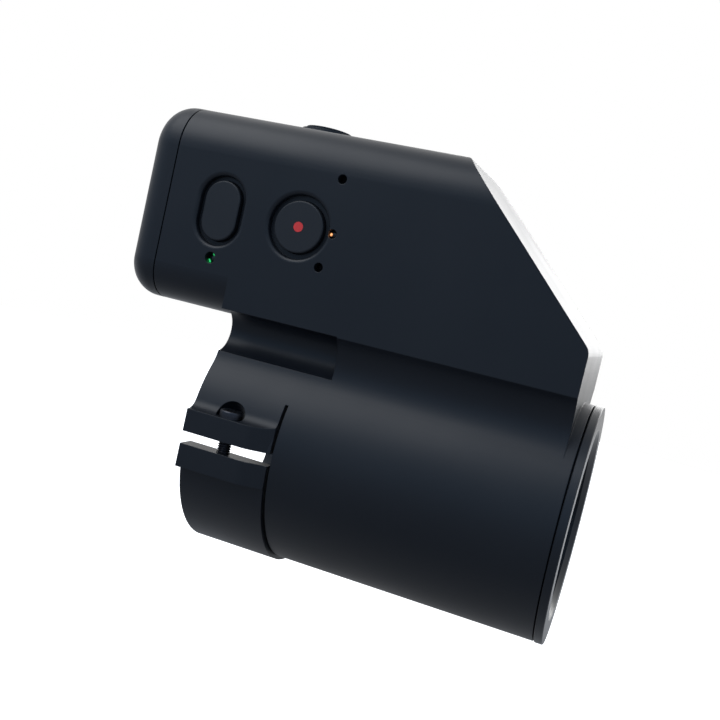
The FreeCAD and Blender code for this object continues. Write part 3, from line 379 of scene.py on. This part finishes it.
def circuit_board(name):
    """Green solder mask with copper runs that show through as paler lines."""
    graph = Graph(name)
    runs = graph.node("ShaderNodeTexBrick")
    runs.inputs["Scale"].default_value = 260.0
    runs.inputs["Mortar Size"].default_value = 0.06
    runs.inputs["Color1"].default_value = (0.004, 0.05, 0.022, 1.0)
    runs.inputs["Color2"].default_value = (0.005, 0.06, 0.028, 1.0)
    runs.inputs["Mortar"].default_value = (0.02, 0.16, 0.07, 1.0)
    graph.wire(graph.place, runs.inputs["Vector"])
    graph.colour(runs.outputs["Color"])
    graph.rough(graph.between(graph.noise(500.0), 0.28, 0.42))
    graph.bump(runs.outputs["Fac"], 0.02)
    return graph.material


def polyimide(name):
    graph = Graph(name)
    tracks = graph.wave(700.0, "Z")
    graph.colour(graph.blend(tracks, (0.35, 0.11, 0.012), (0.52, 0.2, 0.03)))
    graph.rough(graph.between(graph.noise(400.0), 0.22, 0.36))
    graph.bump(tracks, 0.01)
    return graph.material


def foil(name):
    """Laminated pouch foil with shallow creases."""
    graph = Graph(name)
    creases = graph.noise(160.0, 5.0, 0.6)
    graph.colour(graph.blend(creases, (0.38, 0.39, 0.42), (0.52, 0.53, 0.56)))
    graph.rough(graph.between(creases, 0.3, 0.5))
    graph.bump(creases, 0.15)
    graph.set(Metallic=0.6)
    return graph.material


def mesh_cloth(name):
    graph = Graph(name)
    warp = graph.wave(1500.0, "X")
    weft = graph.wave(1500.0, "Z")
    weave = graph.sum(warp, weft, 1.0)
    shade = graph.between(weave, 0.0, 1.0, 0.2, 1.8)
    graph.colour(graph.blend(shade, (0.004, 0.004, 0.005), (0.03, 0.03, 0.032)))
    graph.rough(graph.between(weave, 0.6, 0.9, 0.0, 2.0))
    graph.bump(weave, 0.04)
    return graph.material


def glow_pipe(name, base, tint, strength, spots, reach):
    """Light guide in its hole: dark except for emissive patches at the given spots, added as light on the
    surface.

    spots lists (x, z) places of the bright patches, and reach is the radius of each.
    """
    graph = Graph(name)
    split = graph.node("ShaderNodeSeparateXYZ")
    graph.wire(graph.place, split.inputs[0])
    flat = graph.node("ShaderNodeCombineXYZ")
    graph.wire(split.outputs["X"], flat.inputs["X"])
    graph.wire(split.outputs["Z"], flat.inputs["Z"])
    total = None
    for x, z in spots:
        gap = graph.node("ShaderNodeVectorMath", operation="DISTANCE")
        graph.wire(flat.outputs[0], gap.inputs[0])
        gap.inputs[1].default_value = (x, 0.0, z)
        patch = graph.between(gap.outputs["Value"], 1.0, 0.0, reach * 0.35, reach)
        total = patch if total is None else graph.sum(total, patch, 1.0)
    flecks = graph.noise(2600.0, 2.0)
    lit = graph.node("ShaderNodeMath", operation="MULTIPLY")
    graph.wire(total, lit.inputs[0])
    graph.wire(graph.between(flecks, strength * 0.4, strength * 1.5, 0.35, 0.65), lit.inputs[1])
    graph.colour(graph.blend(flecks, base, tuple(2.0 * c for c in base)))
    graph.rough(graph.between(flecks, 0.15, 0.3))
    graph.wire(lit.outputs[0], graph.shader.inputs["Emission Strength"])
    graph.set(Emission_Color=(*tint, 1.0), Coat_Weight=0.3)
    return graph.material


# ---------------------------------------------------------------- materials of the object
def middle_of(node):
    """The (x, z) middle of a node's box."""
    low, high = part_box(node)
    return (low.x + high.x) / 2, (low.z + high.z) / 2


def make_materials():
    """One material for each slot in the record."""
    green_x, green_z = middle_of("green_light_pipe")
    amber_x, amber_z = middle_of("amber_light_pipe")
    green_spots = [(green_x - 0.85 * MM, green_z - 0.80 * MM), (green_x + 0.30 * MM, green_z + 1.00 * MM)]
    # The amber patch is a painted glint: emission put where a glint sits at the edge of the hole.
    amber_glint_spots = [(amber_x - 0.55 * MM, amber_z - 0.1 * MM)]
    return {
        "body_anodised": blasted_anodise("body_anodised", BLACK_LOW, BLACK_HIGH, 0.37, 0.49),
        "cap_anodised": blasted_anodise("cap_anodised", BLACK_LOW, BLACK_HIGH, 0.38, 0.50),
        "ring_anodised": turned_anodise("ring_anodised", BLACK_LOW, BLACK_HIGH, 0.3, 0.42),
        "dial_anodised": turned_anodise("dial_anodised", BLACK_LOW, BLACK_HIGH, 0.3, 0.42),
        "inner_anodised": turned_anodise("inner_anodised", (0.004, 0.004, 0.005), (0.009, 0.009, 0.01),
                                         0.5, 0.7),
        "button_plastic": moulded("button_plastic", (0.0062, 0.0075, 0.0105), (0.0105, 0.012, 0.0155),
                                  0.42, 0.55, 0.006),
        "inner_plastic": moulded("inner_plastic", (0.012, 0.012, 0.013), (0.022, 0.022, 0.024), 0.45, 0.6),
        "red_mark": moulded("red_mark", (0.80, 0.035, 0.035), (0.95, 0.06, 0.055), 0.35, 0.5, 0.004),
        "clamp_screw_steel": steel("clamp_screw_steel", (0.035, 0.035, 0.04), (0.09, 0.09, 0.1),
                                   0.28, 0.42),
        "small_screws": steel("small_screws", (0.35, 0.35, 0.37), (0.55, 0.55, 0.58), 0.2, 0.36),
        "rod_steel": steel("rod_steel", (0.5, 0.5, 0.52), (0.66, 0.66, 0.68), 0.12, 0.24, (14.0, 1.0, 1.0)),
        "socket_steel": steel("socket_steel", (0.5, 0.5, 0.52), (0.64, 0.64, 0.66),
                              0.22, 0.34, (8.0, 1.0, 1.0)),
        "gear_brass": steel("gear_brass", (0.55, 0.36, 0.12), (0.74, 0.54, 0.22), 0.2, 0.34),
        "black_rubber": rubber("black_rubber", (0.006, 0.006, 0.006), (0.014, 0.014, 0.015)),
        "grey_rubber": rubber("grey_rubber", (0.26, 0.28, 0.31), (0.36, 0.38, 0.41)),
        "circuit_board": circuit_board("circuit_board"),
        "chip_plastic": moulded("chip_plastic", (0.008, 0.008, 0.008), (0.02, 0.02, 0.02),
                                0.4, 0.6, 0.02, 1500.0),
        "socket_plastic": moulded("socket_plastic", (0.55, 0.52, 0.44), (0.66, 0.63, 0.56), 0.4, 0.55),
        "card_plastic": moulded("card_plastic", (0.008, 0.008, 0.009), (0.018, 0.018, 0.02), 0.25, 0.4),
        "switch_case": moulded("switch_case", (0.02, 0.02, 0.02), (0.04, 0.04, 0.04), 0.4, 0.55),
        "switch_plunger": moulded("switch_plunger", (0.6, 0.56, 0.46), (0.72, 0.68, 0.6), 0.35, 0.5),
        "green_light": moulded("green_light", (0.02, 0.5, 0.1), (0.05, 0.75, 0.2), 0.1, 0.2),
        "amber_light": moulded("amber_light", (0.8, 0.3, 0.02), (0.9, 0.42, 0.05), 0.1, 0.2),
        "green_pipe": glow_pipe("green_pipe", (0.002, 0.012, 0.006), (0.05, 1.0, 0.28),
                                0.75, green_spots, 0.6 * MM),
        # The amber pipe's emissive patch is a painted glint, not light from a lamp.
        "amber_pipe": glow_pipe("amber_pipe", (0.003, 0.002, 0.002), (1.0, 0.42, 0.16),
                                2.2, amber_glint_spots, 0.4 * MM),
        "mesh_fabric": mesh_cloth("mesh_fabric"),
        "flex_film": polyimide("flex_film"),
        "battery_film": foil("battery_film"),
        "sensor_glass": moulded("sensor_glass", (0.01, 0.01, 0.03), (0.03, 0.02, 0.05), 0.05, 0.12),
        "filter_glass": glass("filter_glass", (0.6, 0.86, 0.9), 1.5, 0.02, (0.5, 0.8, 1.0)),
        "lens_glass": glass("lens_glass", (0.95, 0.98, 1.0), 1.6, 0.01, (0.6, 0.4, 1.0)),
        "splitter_glass": glass("splitter_glass", (0.84, 0.82, 0.9), 1.5, 0.02, (0.95, 0.88, 0.95)),
        "window_glass": glass("window_glass", (0.97, 0.99, 0.985), 1.5, 0.02, (0.86, 1.0, 0.92)),
        "mirror_coating": mirror("mirror_coating"),
    }


def paint_cad_nodes(materials):
    for part in frame["record"]["subparts"]:
        mesh = frame["nodes"][part["node"]].data
        mesh.materials.clear()
        mesh.materials.append(materials[part["material_slot"]])
        for face in mesh.polygons:
            face.material_index = 0


# ---------------------------------------------------------------- clamp screw
SCREW_PITCH = 0.5 * MM
THREAD_DEPTH = 0.26 * MM
THREAD_TOP = 2.4 * MM
HEAD_HEIGHT = 1.22 * MM
HEAD_ROUNDING = 0.45 * MM
SHANK_RADIUS = 1.45 * MM
SLOT_WIDTH = 0.8 * MM
SLOT_DEPTH = 0.65 * MM
NOSE_TAPER = 0.6 * MM
NOSE_CHAMFER = 0.3 * MM
SCREW_SIDES = 48
RINGS_PER_TURN = 10
ROUNDING_STEPS = 6


def thread_radius(turn, z, low):
    """Radius of a right-hand thread at a share of one turn and a height, with a run-out at each end."""
    phase = (z / SCREW_PITCH - turn) % 1.0
    groove = min(1.0, max(0.0, 1.35 * (1.0 - abs(2.0 * phase - 1.0)) - 0.2))
    fade = min(1.0, max(0.0, (THREAD_TOP - z) / SCREW_PITCH))
    nose = max(0.0, NOSE_CHAMFER - (z - low))
    return SHANK_RADIUS - THREAD_DEPTH * groove * fade - nose


def lathe(bm, rings):
    """Closed skin over rings, lowest first, with a fan at each end.

    Each ring is a height and a function that gives the radius at a share of one turn.
    """
    loops = []
    for z, reach in rings:
        loop = []
        for i in range(SCREW_SIDES):
            turn = i / SCREW_SIDES
            radius = reach(turn)
            loop.append(bm.verts.new((radius * math.cos(TAU * turn), radius * math.sin(TAU * turn), z)))
        loops.append(loop)
    for below, above in zip(loops, loops[1:]):
        for i in range(SCREW_SIDES):
            j = (i + 1) % SCREW_SIDES
            bm.faces.new((below[i], below[j], above[j], above[i]))
    for loop, order in ((loops[0], -1), (loops[-1], 1)):
        centre = bm.verts.new((0.0, 0.0, loop[0].co.z))
        for i in range(SCREW_SIDES):
            pair = (loop[i], loop[(i + 1) % SCREW_SIDES])
            bm.faces.new((*pair[::order], centre))


def screw_rings(low_z, high_z, head_radius):
    """Nose, thread, plain neck under the head, then the head with its rounded top edge."""
    seat = high_z - HEAD_HEIGHT
    rings = [(low_z, lambda turn: SHANK_RADIUS - NOSE_TAPER)]
    step = SCREW_PITCH / RINGS_PER_TURN
    for k in range(int((THREAD_TOP - low_z) / step) + 1):
        z = low_z + k * step
        rings.append((z, lambda turn, z=z: thread_radius(turn, z, low_z)))
    rings.append((seat - 0.02 * MM, lambda turn: SHANK_RADIUS))
    rings.append((seat, lambda turn: SHANK_RADIUS))
    rings.append((seat, lambda turn: head_radius))
    for k in range(ROUNDING_STEPS + 1):
        lean = k / ROUNDING_STEPS * TAU / 4
        z = high_z - HEAD_ROUNDING * (1.0 - math.sin(lean))
        rings.append((z, lambda turn, lean=lean: head_radius - HEAD_ROUNDING * (1.0 - math.cos(lean))))
    return rings


def mesh_object(name, bm):
    """Turns a finished bmesh into an object in the scene."""
    mesh = bpy.data.meshes.new(name)
    bm.to_mesh(mesh)
    bm.free()
    made = bpy.data.objects.new(name, mesh)
    bpy.context.scene.collection.objects.link(made)
    return made


def cut_away(target, cutter):
    """Takes cutter out of target for good, and removes cutter."""
    cut = target.modifiers.new("cut", "BOOLEAN")
    cut.operation = "DIFFERENCE"
    cut.solver = "EXACT"
    cut.object = cutter
    solved = bpy.data.meshes.new_from_object(target.evaluated_get(bpy.context.evaluated_depsgraph_get()))
    target.modifiers.clear()
    target.data = solved
    bpy.data.objects.remove(cutter)


def make_clamp_screw(material):
    """Slotted cheese-head screw with its thread cut as a helix, in place of the plain one."""
    low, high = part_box("clamp_screw")
    axis = Vector(((low.x + high.x) / 2, (low.y + high.y) / 2, 0.0))
    head_radius = (high.x - low.x) / 2
    bm = bmesh.new()
    lathe(bm, screw_rings(low.z, high.z, head_radius))
    bmesh.ops.recalc_face_normals(bm, faces=bm.faces)
    screw = mesh_object("clamp_screw_threaded", bm)
    bm = bmesh.new()
    size = Matrix.Diagonal((4.0 * head_radius, SLOT_WIDTH, 2.0 * SLOT_DEPTH, 1.0))
    bmesh.ops.create_cube(bm, size=1.0, matrix=Matrix.Translation((0.0, 0.0, high.z)) @ size)
    cut_away(screw, mesh_object("slot_cutter", bm))
    for face in screw.data.polygons:
        face.use_smooth = True
    screw.data.set_sharp_from_angle(angle=math.radians(32.0))
    screw.data.transform(Matrix.Translation(axis))
    screw.data.materials.clear()
    screw.data.materials.append(material)
    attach(screw, "clamp_screw")
    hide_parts("clamp_screw")


# ---------------------------------------------------------------- the scene
bpy.context.scene.view_settings.view_transform = "Standard"
MATERIALS = make_materials()
paint_cad_nodes(MATERIALS)
make_clamp_screw(MATERIALS["clamp_screw_steel"])
make_camera()
make_lights()
make_world()
make_floor()
